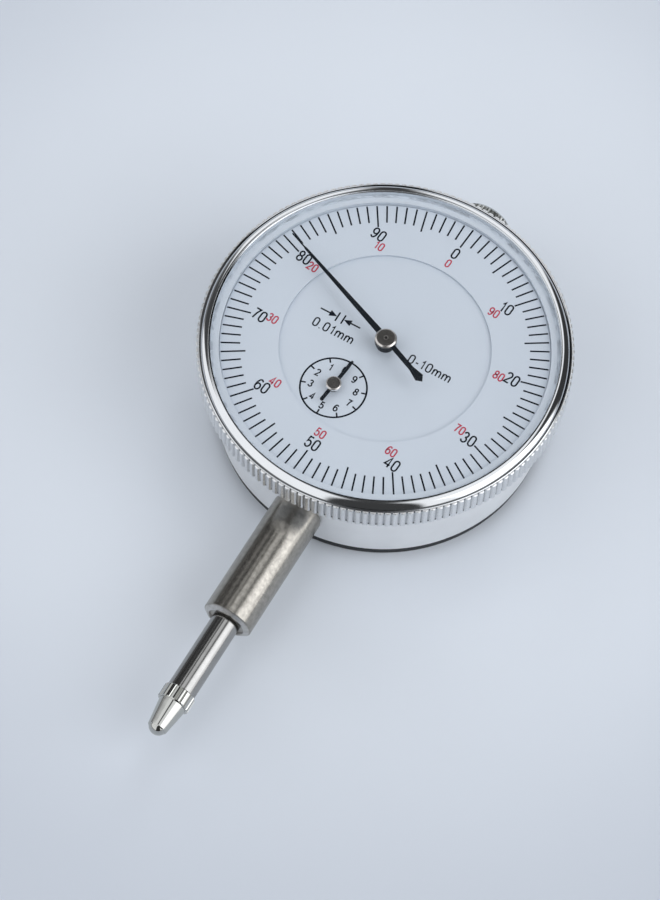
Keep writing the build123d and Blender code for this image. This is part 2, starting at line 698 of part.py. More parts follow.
def make_small_hub():
    """Cap of the small hand with a stepped top."""
    bottom, top = SMALL_POINTER_Z + 0.1, SCALE_TOP + 1.25
    x, y = FIRST_X, FIRST_Y
    with BuildPart() as small_hub:
        with BuildSketch(Plane(origin=(x, y, 0), x_dir=(1, 0, 0), z_dir=(0, -1, 0))):
            with BuildLine():
                Polyline((0, bottom + 0.3), (SHAFT_RADIUS, bottom + 0.3), (SHAFT_RADIUS, bottom),
                         (1.2, bottom), (1.2, top - 0.15), (1.05, top), (0, top), close=True)
            make_face()
        revolve(axis=Axis((x, y, 0), (0, 0, 1)))
    return small_hub


def make_plunger():
    """Round plunger with the rack cut in its -X side and threaded ends."""
    rack_start, rack_end = FIRST_Y - TRAVEL - 2.5, FIRST_Y + 2.5
    tip_x = RACK_LINE - 0.85 * RACK_MODULE
    root_x = RACK_LINE + 1.25 * RACK_MODULE
    half_gap_root, half_gap_line, half_gap_tip = 0.25 * RACK_PITCH, 0.29 * RACK_PITCH, 0.42 * RACK_PITCH
    gaps = round((rack_end - rack_start) / RACK_PITCH) - 1
    middle_gap = FIRST_Y - TRAVEL / 2
    with BuildPart() as plunger:
        with BuildSketch(across_stem(PLUNGER_END)):
            Circle(PLUNGER_RADIUS)
        extrude(amount=KNOB_START - PLUNGER_END)
        with BuildSketch(across_stem(KNOB_START)):
            Circle(1.25)
        extrude(amount=4.0)
        with BuildSketch(across_stem(PLUNGER_END)):
            Circle(1.2)
        extrude(amount=5.5, mode=Mode.SUBTRACT)
        with BuildSketch(Plane.XY.offset(STEM_Z - 3)):
            with Locations((tip_x - 1, middle_gap)):
                Rectangle(2, rack_end - rack_start)
            with Locations((0, middle_gap)):
                with GridLocations(0, RACK_PITCH, 1, gaps):
                    Polygon((tip_x - 0.01, -half_gap_tip), (RACK_LINE, -half_gap_line),
                            (root_x, -half_gap_root), (root_x, half_gap_root),
                            (RACK_LINE, half_gap_line), (tip_x - 0.01, half_gap_tip), align=None)
        extrude(amount=6, mode=Mode.SUBTRACT)
        with BuildSketch(Plane(origin=(-1, GUIDE_Y, STEM_Z), x_dir=(0, 1, 0), z_dir=(1, 0, 0))):
            Circle(GUIDE_RADIUS)
        extrude(amount=4, mode=Mode.SUBTRACT)
    return plunger


def make_guide_pin():
    """Cross pin in the plunger, waisted at its end for the spring loop."""
    steps = ((-1, SPRING_X - 0.4, GUIDE_RADIUS), (SPRING_X - 0.4, SPRING_X + 0.4, SPRING_WAIST),
             (SPRING_X + 0.4, SPRING_X + 1.0, GUIDE_RADIUS))
    with BuildPart() as guide_pin:
        for start, end, radius in steps:
            with BuildSketch(Plane(origin=(start, GUIDE_Y, STEM_Z), x_dir=(0, 1, 0), z_dir=(1, 0, 0))):
                Circle(radius)
            extrude(amount=end - start)
    return guide_pin


def make_contact_point():
    """Screw-in contact point: fluted collar, cone and seat for the ball."""
    collar_end, cone_end = PLUNGER_END - 2.3, TIP_END + 0.9
    ball_y = TIP_END + BALL_RADIUS
    flutes = 18
    with BuildPart() as contact_point:
        with BuildSketch(STEM_LAYER):
            with BuildLine():
                Polyline((0, PLUNGER_END + 5.0), (1.2, PLUNGER_END + 5.0), (1.2, PLUNGER_END),
                         (2.4, PLUNGER_END), (2.55, PLUNGER_END - 0.15), (2.55, collar_end + 0.15),
                         (2.4, collar_end), (2.2, collar_end), (1.55, cone_end + 0.15),
                         (1.42, cone_end), (0, cone_end), close=True)
            make_face()
        revolve(axis=STEM_AXIS)
        with BuildSketch(STEM_LAYER):
            with BuildLine():
                Line((0, ball_y - BALL_RADIUS), (0, ball_y + BALL_RADIUS))
                ThreePointArc((0, ball_y + BALL_RADIUS), (BALL_RADIUS, ball_y), (0, ball_y - BALL_RADIUS))
            make_face()
        revolve(axis=STEM_AXIS, mode=Mode.SUBTRACT)
        with BuildSketch(across_stem(collar_end)):
            with PolarLocations(2.62, flutes):
                Polygon((0, -0.24), (-0.25, 0), (0, 0.24), align=None)
        extrude(amount=PLUNGER_END - collar_end, mode=Mode.SUBTRACT)
    return contact_point


def make_contact_ball():
    """Hard ball in the contact point's nose."""
    with BuildPart() as contact_ball:
        with Locations((0, TIP_END + BALL_RADIUS, STEM_Z)):
            Sphere(BALL_RADIUS)
    return contact_ball


def make_lift_knob():
    """Knurled lift knob screwed on the plunger's top."""
    knurl = 44
    with BuildPart() as lift_knob:
        with BuildSketch(STEM_LAYER):
            with BuildLine():
                Polyline((0, KNOB_END), (0, KNOB_START + 4.0), (1.25, KNOB_START + 4.0), (1.25, KNOB_START),
                         (3.4, KNOB_START), (3.4, KNOB_START + 0.6), (KNOB_RADIUS - 0.3, KNOB_START + 0.6),
                         (KNOB_RADIUS, KNOB_START + 0.9), (KNOB_RADIUS, KNOB_END - 0.5),
                         (KNOB_RADIUS - 0.5, KNOB_END), close=True)
            make_face()
        revolve(axis=STEM_AXIS)
        with BuildSketch(across_stem(KNOB_START + 0.6)):
            with PolarLocations(KNOB_RADIUS + 0.05, knurl):
                Polygon((0, -0.24), (-0.28, 0), (0, 0.24), align=None)
        extrude(amount=KNOB_END - KNOB_START - 0.6, mode=Mode.SUBTRACT)
    return lift_knob


ARBORS = ((0, 0), (FIRST_X, FIRST_Y), (HAIR_X, HAIR_Y))
SHAFT_BORE = SHAFT_RADIUS + SHAFT_FIT
PIVOT_BORE = PIVOT_RADIUS + SHAFT_FIT
LUGS = circle_places(LUG_CIRCLE, LUG_ANGLES)
PILLARS = circle_places(PILLAR_CIRCLE, PILLAR_ANGLES)

# Case and what is fixed to it
write_node(make_case(), "case")
write_node(make_back_cover(), "back_cover")
write_node(make_back_cover_screws(), "back_cover_screws")
write_node(make_stem(), "stem")
write_node(make_stem_bush(), "stem_bush")
write_node(make_upper_bush(), "upper_bush")
write_node(make_snap_ring(), "bezel_snap_ring")

# Movement frame
write_node(make_lower_plate(), "lower_plate")
write_node(make_upper_plate(), "upper_plate")
write_node(screws(LUGS, 1.7, LOWER_PLATE[1] + 0.8, LOWER_PLATE[1], 7.4, 1.0), "movement_screws")
write_node(columns(PILLARS, 1.5, LOWER_PLATE[1], UPPER_PLATE[0], bore=0.7), "plate_pillars")
write_node(screws(PILLARS, 1.4, UPPER_PLATE[1] + 0.6, UPPER_PLATE[1], 15.2, 0.7), "upper_plate_screws")
write_node(screws(PILLARS, 1.4, LOWER_PLATE[0] - 0.6, LOWER_PLATE[0], 15.0, 0.7), "pillar_base_screws")
write_node(make_rear_bridge(), "rear_bridge")
write_node(make_bridge_pillars(), "bridge_pillars")
write_node(screws(BRIDGE_PILLARS, 1.5, BRIDGE[0] - 0.7, BRIDGE[0], 7.2, 0.7), "bridge_screws")
write_node(columns([(FIRST_X, FIRST_Y)], 1.1, *BRIDGE, bore=PIVOT_BORE), "bridge_bush")
write_node(columns([ARBORS[1]], 1.3, *LOWER_PLATE, bore=SHAFT_BORE), "first_arbor_lower_bush")
write_node(columns([ARBORS[0], ARBORS[2]], 1.3, *LOWER_PLATE, bore=PIVOT_BORE), "pivot_bushes")
write_node(columns(ARBORS[:2], 1.3, *UPPER_PLATE, bore=SHAFT_BORE), "shaft_bushes")
write_node(columns([ARBORS[2]], 1.3, *UPPER_PLATE, bore=PIVOT_BORE), "hair_arbor_upper_bush")
write_node(make_guide_rail(), "guide_rail")
write_node(screws(RAIL_SCREWS, 1.3, RAIL_FLANGE - 0.7, RAIL_FLANGE, LOWER_PLATE[1], 0.7), "guide_rail_screws")
write_node(make_spring_anchor(), "spring_anchor")
write_node(make_measuring_spring(), "measuring_spring")
write_node(make_hairspring(), "hairspring")
write_node(columns([HAIR_STUD], 0.6, LOWER_PLATE[1], 15.0), "hairspring_stud")
write_node(make_dial_centre_disc(), "dial_centre_disc")
write_node(make_dial_posts(), "dial_posts")

# Bezel, turned by hand
write_node(make_bezel(), "bezel")
write_node(make_crystal(), "crystal")
write_node(turned_about_dial([(26.3, CRYSTAL_SEAT), (26.7, CRYSTAL_SEAT), (26.7, CRYSTAL_SEAT + 0.05),
                              (26.3, CRYSTAL_SEAT + 0.05)]), "crystal_seal")
write_node(turned_about_dial([(SCALE_HOLE, SCALE_TOP - SCALE_THICKNESS),
                              (SCALE_RADIUS, SCALE_TOP - SCALE_THICKNESS),
                              (SCALE_RADIUS, SCALE_TOP), (SCALE_HOLE, SCALE_TOP)]), "dial_scale_ring")

# First arbor
write_node(make_rack_pinion(), "rack_pinion")
write_node(make_first_wheel(), "first_wheel")
write_node(make_small_pointer(), "small_pointer")
write_node(make_small_hub(), "small_pointer_hub")

# Centre arbor
write_node(make_centre_pinion(), "centre_pinion")
write_node(make_pointer_drum(), "pointer_drum")
write_node(make_pointer(), "pointer")
write_node(make_pointer_hub(), "pointer_hub")

# Hairspring arbor
write_node(make_hair_arbor(), "hairspring_arbor")
write_node(make_hair_wheel(), "hairspring_wheel")
write_node(columns([(HAIR_X, HAIR_Y)], 0.9, FIRST_WHEEL[0], FIRST_WHEEL[0] + 0.8, bore=0.6),
           "hairspring_collet")

# Plunger
write_node(make_plunger(), "plunger")
write_node(make_guide_pin(), "guide_pin")
write_node(make_contact_point(), "contact_point")
write_node(make_contact_ball(), "contact_ball")
write_node(make_lift_knob(), "lift_knob")
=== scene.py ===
from math import cos, pi, radians, sin

import bmesh
import bpy
from mathutils import Matrix, Vector


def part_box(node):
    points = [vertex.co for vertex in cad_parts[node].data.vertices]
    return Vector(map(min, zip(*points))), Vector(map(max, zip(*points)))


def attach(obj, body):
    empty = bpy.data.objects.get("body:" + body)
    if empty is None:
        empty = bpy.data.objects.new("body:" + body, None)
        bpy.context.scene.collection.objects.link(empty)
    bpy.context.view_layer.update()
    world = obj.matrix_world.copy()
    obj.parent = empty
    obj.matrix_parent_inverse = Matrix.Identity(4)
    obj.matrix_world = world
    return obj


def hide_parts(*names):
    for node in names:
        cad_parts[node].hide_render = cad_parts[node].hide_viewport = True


# Dial indicator, lying on its flat back. Metres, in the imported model's frame:
# +Z out of the dial along its axis, -Y along the stem to the contact point.
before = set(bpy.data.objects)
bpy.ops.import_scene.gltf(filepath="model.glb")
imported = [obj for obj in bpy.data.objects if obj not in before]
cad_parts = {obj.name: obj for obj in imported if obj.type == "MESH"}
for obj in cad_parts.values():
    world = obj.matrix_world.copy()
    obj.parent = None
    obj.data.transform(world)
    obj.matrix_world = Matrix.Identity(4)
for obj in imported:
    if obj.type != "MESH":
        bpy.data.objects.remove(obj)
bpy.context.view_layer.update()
MM = 0.001

# Places taken from the frame
SCALE_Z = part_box("dial_scale_ring")[1].z
DISC_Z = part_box("dial_centre_disc")[1].z
SMALL_CENTRE = sum(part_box("small_pointer_hub"), Vector()) / 2

# Camera: its direction, roll and distance, and the point it looks at on the table
CAMERA_AZIMUTH = radians(27.46)
CAMERA_ELEVATION = radians(63.09)
CAMERA_ROLL = radians(2.86)
CAMERA_DISTANCE = 489.98 * MM
CAMERA_TARGET = Vector((-2.94, -10.91, 0)) * MM
FOCAL_LENGTH = 124.8
NEAREST = 0.01

# Table: half its size in metres, and its tone within a painted pool of light round the indicator and away
# from it
FLOOR_SIZE = 3.0
FLOOR_MIDDLE = Vector((-6, 9, 0)) * MM
FLOOR_NEAR, FLOOR_POOL_COLOR = 52.5 * MM, (0.746, 0.792, 0.856)
FLOOR_FAR, FLOOR_OUTSIDE_POOL_COLOR = 108.5 * MM, (0.603, 0.645, 0.714)

# The studio: level by elevation, then soft-edged zones of the sky as azimuth, elevation,
# half width, half height and level, then a dark gap overhead that widens to the front
SKY_COLOR = (0.95, 0.97, 1.0)
HORIZON = (0.02, 0.18)
HORIZON_LEVEL = 0.12
PANEL_LEVEL = 1.25
ZONE_EDGE = 3
SKY_ZONES = (
    (86, 33, 28, 30, 2.0),
    (76, 38, 18, 20, 2.8),
    (31, 27, 23, 36, 0.05),
    (288, 5, 13, 17, 0.2),
    (288, 38, 13, 20, 0.07),
    (308, 53, 14, 9, 0.07),
)
GAP_AZIMUTH = 333.5
GAP_EDGES = (0.11, 0.03)
GAP_SPREAD = 0.34
GAP_LEVEL = 0.06


# ---------------------------------------------------------------- materials

WHITE = (1, 1, 1)
EVEN = (1, 1, 1)

# Fine grain drawn out along the stem
ALONG_STEM = (1, 6, 1)

# Range that most of a noise's values fall in
NOISE_LOW, NOISE_HIGH = 0.3, 0.7

# Stem: how far from its end a painted highlight reaches, the steel tone of that highlight (also the bush's
# own steel), and its own steel elsewhere
STEM_HIGHLIGHT_REACH = (0.3 * MM, 0.45 * MM)
BUSH_STEEL_AND_HIGHLIGHT = (0.60, 0.585, 0.56)
WORN_STEEL = (0.38, 0.36, 0.325)

# Where the painted shade lines round the bezel begin and end their change of tone, along the stem's axis
SHADE_LINE_ENDS = (-2 * MM, 5 * MM)

# Tones of a hub's cap at shares of its radius, with a painted highlight ring round its centre mark and a
# painted highlight on its rim; how a tone is warmed, and the collar's colour and edge
HUB_TONES_AND_HIGHLIGHTS = ((0.01, 0.04), (0.14, 0.04), (0.18, 0.35), (0.24, 0.10), (0.80, 0.12), (0.88, 0.66), (0.99, 0.66))
WARM = (1, 0.95, 0.9)
COLLAR_COLOR = (0.02, 0.022, 0.026)
COLLAR_FADE = 0.05 * MM

# Clear crystal: strength of its reflection face on, and what a grazing view adds
FACE_ON = 0.003
GRAZING = 0.6
GRAZING_POWER = 5

# Sockets of a mix node, for colours and for plain numbers
MIX_FACTOR, MIX_A, MIX_B, MIX_RESULT = 0, 6, 7, 2
MIX_NUMBER_A, MIX_NUMBER_B, MIX_NUMBER = 2, 3, 0


def principled(made):
    """The material's own shader."""
    return made.node_tree.nodes["Principled BSDF"]


def new_material(name, color, metallic, roughness):
    """A plain Principled material."""
    made = bpy.data.materials.new(name)
    made.use_nodes = True
    inputs = principled(made).inputs
    inputs["Base Color"].default_value = (*color, 1)
    inputs["Metallic"].default_value = metallic
    inputs["Roughness"].default_value = roughness
    return made


def add_node(made, kind, **settings):
    """A node in the material, with its plain settings."""
    node = made.node_tree.nodes.new(kind)
    for key, value in settings.items():
        setattr(node, key, value)
    return node


def link(made, source, target):
    """A link from one socket to another."""
    made.node_tree.links.new(source, target)


def number(tree, operation, value, other=None):
    """One sum on a socket, with a plain number."""
    made = add_node(tree, "ShaderNodeMath", operation=operation)
    link(tree, value, made.inputs[0])
    if other is not None:
        made.inputs[1].default_value = other
    return made.outputs[0]


def ease(tree, value, low, high, start=0.0, end=1.0):
    """Smooth step of a socket from low to high."""
    made = add_node(tree, "ShaderNodeMapRange", interpolation_type="SMOOTHSTEP")
    for socket, level in (("From Min", low), ("From Max", high), ("To Min", start), ("To Max", end)):
        made.inputs[socket].default_value = level
    link(tree, value, made.inputs["Value"])
    return made.outputs["Result"]


def grain(made, stretch, scale, detail=3.0):
    """Noise over the object's own coordinates, stretched per axis."""
    coords = add_node(made, "ShaderNodeTexCoord")
    mapping = add_node(made, "ShaderNodeMapping")
    mapping.inputs["Scale"].default_value = stretch
    noise = add_node(made, "ShaderNodeTexNoise")
    noise.inputs["Scale"].default_value = scale
    noise.inputs["Detail"].default_value = detail
    link(made, coords.outputs["Object"], mapping.inputs["Vector"])
    link(made, mapping.outputs["Vector"], noise.inputs["Vector"])
    return noise.outputs["Fac"]


def vary(made, factor, socket, low, high):
    """Drive one input of the shader from low to high by a noise."""
    ramp = add_node(made, "ShaderNodeMapRange")
    for end, level in (("From Min", NOISE_LOW), ("From Max", NOISE_HIGH), ("To Min", low), ("To Max", high)):
        ramp.inputs[end].default_value = level
    link(made, factor, ramp.inputs["Value"])
    link(made, ramp.outputs["Result"], principled(made).inputs[socket])


def tint(made, factor, dark, light):
    """Base colour from dark to light by a noise."""
    ramp = add_node(made, "ShaderNodeValToRGB")
    for stop, place, tone in zip(ramp.color_ramp.elements, (NOISE_LOW, NOISE_HIGH), (dark, light)):
        stop.position = place
        stop.color = (*tone, 1)
    link(made, factor, ramp.inputs["Fac"])
    link(made, ramp.outputs["Color"], principled(made).inputs["Base Color"])


def relief(made, factor, height):
    """Bump of this height, in metres, from a noise."""
    bump = add_node(made, "ShaderNodeBump")
    bump.inputs["Distance"].default_value = height
    bump.inputs["Strength"].default_value = 1.0
    link(made, factor, bump.inputs["Height"])
    link(made, bump.outputs["Normal"], principled(made).inputs["Normal"])


def shaded(color, share):
    """A darker tone of a colour."""
    return tuple(channel * share for channel in color)


def metal(name, color, roughness, stretch=EVEN, scale=9000, height=0.004 * MM, metallic=1.0,
          patches=160, spread=0.06):
    """Blasted, ground or polished metal: patches in tone, fine grain in roughness and relief."""
    made = new_material(name, color, metallic, roughness)
    fine = grain(made, stretch, scale)
    tint(made, grain(made, EVEN, patches, 5.0), shaded(color, 1 - spread), color)
    vary(made, fine, "Roughness", roughness * 0.8, roughness * 1.2)
    relief(made, fine, height)
    return made


def paint(name, color, roughness, patches=120, spread=0.04, height=0.002 * MM, specular=0.5):
    """Paint, ink, plastic or rubber: slight patches in tone, fine grain in roughness and relief."""
    made = metal(name, color, roughness, scale=6000, height=height, metallic=0.0,
                 patches=patches, spread=spread)
    principled(made).inputs["Specular IOR Level"].default_value = specular
    return made


def object_axis(made, axis):
    """One of the object's own coordinates."""
    coords = add_node(made, "ShaderNodeTexCoord")
    parts = add_node(made, "ShaderNodeSeparateXYZ")
    link(made, coords.outputs["Object"], parts.inputs["Vector"])
    return parts.outputs[axis]


def distance_from(made, middle):
    """Distance, seen from above, from a point in the object's own coordinates."""
    coords = add_node(made, "ShaderNodeTexCoord")
    away = add_node(made, "ShaderNodeVectorMath", operation="SUBTRACT")
    away.inputs[1].default_value = middle
    flat = add_node(made, "ShaderNodeVectorMath", operation="MULTIPLY")
    flat.inputs[1].default_value = (1, 1, 0)
    length = add_node(made, "ShaderNodeVectorMath", operation="LENGTH")
    link(made, coords.outputs["Object"], away.inputs[0])
    link(made, away.outputs[0], flat.inputs[0])
    link(made, flat.outputs[0], length.inputs[0])
    return length.outputs["Value"]


def toned(made, tone):
    """Multiply a material's own patches by another colour."""
    base = principled(made).inputs["Base Color"]
    mix = add_node(made, "ShaderNodeMix", data_type="RGBA", blend_type="MULTIPLY")
    mix.inputs[MIX_FACTOR].default_value = 1
    link(made, base.links[0].from_socket, mix.inputs[MIX_A])
    link(made, tone, mix.inputs[MIX_B])
    link(made, mix.outputs[MIX_RESULT], base)


def color_between(made, factor, low, high, first, last):
    """Colour that goes from first to last while a factor goes from low to high."""
    mix = add_node(made, "ShaderNodeMix", data_type="RGBA")
    link(made, ease(made, factor, low, high), mix.inputs[MIX_FACTOR])
    mix.inputs[MIX_A].default_value = (*first, 1)
    mix.inputs[MIX_B].default_value = (*last, 1)
    return mix.outputs[MIX_RESULT]


def dirty_line(name, near, far):
    """Narrow line of painted shade round the bezel, its tone going from the stem's side to the knob's side.
    """
    made = metal(name, WHITE, 0.2)
    toned(made, color_between(made, object_axis(made, "Y"), *SHADE_LINE_ENDS, near, far))
    return made


def floor_paint():
    """Pale table, with a painted pool of light round the indicator."""
    made = paint("floor_paint", WHITE, 0.6, patches=25, spread=0.02)
    away = distance_from(made, FLOOR_MIDDLE)
    toned(made, color_between(made, away, FLOOR_NEAR, FLOOR_FAR, FLOOR_POOL_COLOR, FLOOR_OUTSIDE_POOL_COLOR))
    return made


def stem_steel():
    """Worn brownish steel, with a painted highlight at the chamfered end."""
    made = metal("stem_steel", WHITE, 0.21, ALONG_STEM, 5000, 0.0015 * MM, patches=1500, spread=0.3)
    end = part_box("stem")[0].y
    highlight_full, highlight_gone = (end + reach for reach in STEM_HIGHLIGHT_REACH)
    toned(made, color_between(made, object_axis(made, "Y"), highlight_full, highlight_gone, BUSH_STEEL_AND_HIGHLIGHT, WORN_STEEL))
    return made


def hub_cap(name, node, collar=0.0):
    """Turned cap: dark face, with a painted highlight ring round its centre mark and a painted highlight on
    its rim.

    The collar is coloured near-black up to a height above its foot.
    """
    made = metal(name, WHITE, 0.3, patches=2500, spread=0.2)
    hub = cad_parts[node]
    low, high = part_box(node)
    middle = hub.matrix_world.inverted() @ ((low + high) / 2)
    ramp = add_node(made, "ShaderNodeValToRGB")
    for place, tone in HUB_TONES_AND_HIGHLIGHTS:
        stop = ramp.color_ramp.elements.new(place)
        stop.color = (*(tone * share for share in WARM), 1)
    radius = (high.x - low.x) / 2
    link(made, number(made, "DIVIDE", distance_from(made, middle), radius), ramp.inputs["Fac"])
    toned(made, ramp.outputs["Color"])
    if collar:
        edge = middle.z - (high.z - low.z) / 2 + collar
        height = object_axis(made, "Z")
        toned(made, color_between(made, height, edge, edge + COLLAR_FADE, COLLAR_COLOR, WHITE))
    return made


def clear_plastic():
    """Clear crystal: straight through, with a soft reflection that grows at grazing angles."""
    made = bpy.data.materials.new("crystal_clear")
    made.use_nodes = True
    made.node_tree.nodes.clear()
    output = add_node(made, "ShaderNodeOutputMaterial")
    mix = add_node(made, "ShaderNodeMixShader")
    through = add_node(made, "ShaderNodeBsdfTransparent")
    through.inputs["Color"].default_value = (1, 1, 1, 1)
    gloss = add_node(made, "ShaderNodeBsdfGlossy")
    facing = add_node(made, "ShaderNodeLayerWeight")
    facing.inputs["Blend"].default_value = 0.5
    steep = number(made, "POWER", facing.outputs["Facing"], GRAZING_POWER)
    share = number(made, "ADD", number(made, "MULTIPLY", steep, GRAZING), FACE_ON)
    smudges = ease(made, grain(made, EVEN, 300), NOISE_LOW, NOISE_HIGH, 0.01, 0.04)
    link(made, smudges, gloss.inputs["Roughness"])
    link(made, share, mix.inputs[0])
    link(made, through.outputs[0], mix.inputs[1])
    link(made, gloss.outputs[0], mix.inputs[2])
    link(made, mix.outputs[0], output.inputs["Surface"])
    return made


def make_materials():
    """Every finish by its name."""
    return {
        "case": metal("satin_aluminium", (0.86, 0.87, 0.88), 0.42, metallic=0.6),
        "bezel": metal("bezel_metal", (0.78, 0.785, 0.79), 0.3, height=0.002 * MM),
        # Knurl grooves: floors painted darker as shade, and their ends painted near-black as shadow
        "groove": metal("knurl_groove", (0.45, 0.46, 0.47), 0.3, height=0.002 * MM),
        "groove_end_shadow": metal("knurl_shadow", (0.06, 0.065, 0.07), 0.5, height=0.002 * MM),
        "wall": paint("bezel_wall", (0.66, 0.72, 0.79), 0.4),
        "lip": metal("bezel_lip", (0.70, 0.71, 0.72), 0.07, height=0.0003 * MM),
        # Lip edge and crease: painted shade lines, darkest on the stem's side and on the knob's side
        "lip_edge": dirty_line("lip_edge", (0.01, 0.012, 0.015), (0.62, 0.64, 0.66)),
        "crease": dirty_line("bezel_crease", (0.16, 0.165, 0.17), (0.01, 0.012, 0.015)),
        "back": paint("black_back", (0.004, 0.005, 0.007), 0.45, specular=0.15),
        "stem": stem_steel(),
        "plunger": metal("plunger_steel", (0.35, 0.345, 0.335), 0.14, ALONG_STEM, 6000, 0.0008 * MM,
                         patches=500, spread=0.12),
        "chrome": metal("chrome", (0.50, 0.50, 0.475), 0.06, height=0.0004 * MM),
        "knob": metal("knob_steel", (0.40, 0.41, 0.40), 0.2, height=0.001 * MM),
        "screw": metal("screw_steel", (0.35, 0.35, 0.36), 0.3),
        "brass": metal("movement_brass", (0.72, 0.55, 0.26), 0.25),
        "bronze": metal("bush_bronze", (0.30, 0.22, 0.13), 0.35),
        "bush": metal("stem_bush_steel", BUSH_STEEL_AND_HIGHLIGHT, 0.4, metallic=0.6),
        "arbor": metal("arbor_steel", (0.45, 0.45, 0.46), 0.2),
        "spring": metal("spring_steel", (0.22, 0.24, 0.28), 0.25),
        "face": paint("dial_paint", (0.62, 0.68, 0.755), 0.5, patches=60, spread=0.025),
        "hand": paint("hand_black", (0.002, 0.005, 0.010), 0.4, specular=0.2),
        "hub": hub_cap("hub_steel", "pointer_hub", collar=0.9 * MM),
        "small_hub": hub_cap("small_hub_steel", "small_pointer_hub"),
        "seal": paint("seal_rubber", (0.66, 0.72, 0.79), 0.6),
        "ink": paint("black_ink", (0.003, 0.006, 0.014), 0.55, specular=0.15),
        "red_ink": paint("red_ink", (0.50, 0.05, 0.09), 0.55, specular=0.2),
        "crystal": clear_plastic(),
    }


NODE_FINISH = {
    "case": ["case"],
    "back": ["back_cover"],
    "bezel": ["bezel"],
    "stem": ["stem"],
    "plunger": ["plunger"],
    "chrome": ["contact_point", "contact_ball"],
    "knob": ["lift_knob"],
    "hub": ["pointer_hub"],
    "small_hub": ["small_pointer_hub"],
    "hand": ["pointer", "small_pointer", "pointer_drum"],
    "face": ["dial_scale_ring", "dial_centre_disc"],
    "seal": ["crystal_seal"],
    "crystal": ["crystal"],
    "screw": ["back_cover_screws", "movement_screws", "upper_plate_screws", "pillar_base_screws",
              "bridge_screws", "guide_rail_screws"],
    "bronze": ["upper_bush", "bridge_bush", "first_arbor_lower_bush", "pivot_bushes",
               "hair_arbor_upper_bush"],
    "bush": ["stem_bush"],
    "arbor": ["guide_rail", "spring_anchor", "rack_pinion", "centre_pinion", "hairspring_arbor",
              "guide_pin", "shaft_bushes"],
    "spring": ["measuring_spring", "hairspring", "bezel_snap_ring"],
    "brass": ["lower_plate", "upper_plate", "plate_pillars", "rear_bridge", "bridge_pillars",
              "hairspring_stud", "dial_posts", "first_wheel", "hairspring_wheel", "hairspring_collet"],
}


def finish_nodes():
    """Give every carried-over CAD node its material."""
    for finish, names in NODE_FINISH.items():
        for name in names:
            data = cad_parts[name].data
            data.materials.clear()
            data.materials.append(MATERIALS[finish])


# -------------------------------------------------------------------- bezel

# Knurl: its teeth, then its section from a groove's middle to a tooth's, as distance along the rim
# and radius in millimetres
KNURL_TEETH = 160
KNURL_FLANK = ((0.0, 28.57), (0.10, 28.57), (0.22, 28.80), (0.33, 28.885), (0.5675, 28.9))

# The bezel's finishes, in the order of its material slots, and the angle from which its edges are sharp
BEZEL_FINISHES = ("lip", "lip_edge", "crease", "bezel", "groove", "groove_end_shadow", "wall")
SHARP_ANGLE = radians(28)


def arc(cx, cy, rx, ry, start, end, steps=10):
    """Points on an ellipse from start to end, in degrees."""
    turns = [radians(start + (end - start) * i / steps) for i in range(steps + 1)]
    return [(cx + rx * cos(t), cy + ry * sin(t)) for t in turns]


def corner(x, y, radius, start, end, steps):
    """Points round a corner's circle, in millimetres, from start to end in degrees."""
    return arc(x, y, radius, radius, start, end, steps)


def knurl_radius(offset):
    """Radius of the knurl at a distance along the rim from a groove's middle."""
    for (x0, r0), (x1, r1) in zip(KNURL_FLANK, KNURL_FLANK[1:]):
        if offset <= x1:
            return r0 + (r1 - r0) * (offset - x0) / (x1 - x0)
    return KNURL_FLANK[-1][1]


def bezel_columns():
    """Angles round the rim, the knurl's radius at each, and whether a groove's floor follows."""
    pitch = 2 * pi * KNURL_FLANK[-1][1] / KNURL_TEETH
    offsets = [x for x, _ in KNURL_FLANK[1:-1]]
    across = sorted([-x for x in offsets] + offsets) + [pitch / 2]
    floor = offsets[0]
    columns = []
    for tooth in range(KNURL_TEETH):
        for x in across:
            angle = (tooth + x / pitch) * 2 * pi / KNURL_TEETH
            columns.append((angle, knurl_radius(min(abs(x), pitch / 2)), -floor <= x < floor))
    return columns


def bezel_profile():
    """Closed section of the bezel in millimetres, as runs of (finish, finish in a groove, points)."""
    inner_edge = corner(27.0, 20.65, 0.25, 180, 105, 6)
    lip = corner(27.0, 20.65, 0.25, 95, 90, 1) + corner(27.0, 19.52, 1.38, 88, 34, 15)
    crease = [(28.14, 20.13), (28.34, 20.13)]
    bright_ring = [(28.36, 20.21), (28.44, 20.24), (28.5, 20.2), (28.52, 20.13)]
    knurl_top = [(28.56, 20.13), *corner(28.7, 19.93, 0.2, 85, 5, 3)]
    knurl = [(28.9, 19.7)]
    knurl_bottom = [(28.9, 16.45), (28.9, 16.15), (28.78, 16.0)]
    below = [(28.4, 16.0), (26.2, 16.0), (26.18, 16.05)]
    inside = [(26.18, 18.4), (23.5, 18.4), (23.5, 18.9), (25.4, 18.9), (25.4, 19.88), (26.7, 19.9),
              (26.75, 19.95)]
    # The knurl's top and bottom carry painted shadow in the grooves' ends; the groove floors carry painted
    # shade
    return [("lip_edge", "lip_edge", inner_edge), ("lip", "lip", lip), ("crease", "crease", crease),
            ("lip", "lip", bright_ring), ("bezel", "groove_end_shadow", knurl_top), ("bezel", "groove", knurl),
            ("bezel", "groove_end_shadow", knurl_bottom), ("bezel", "bezel", below), ("wall", "wall", inside)]


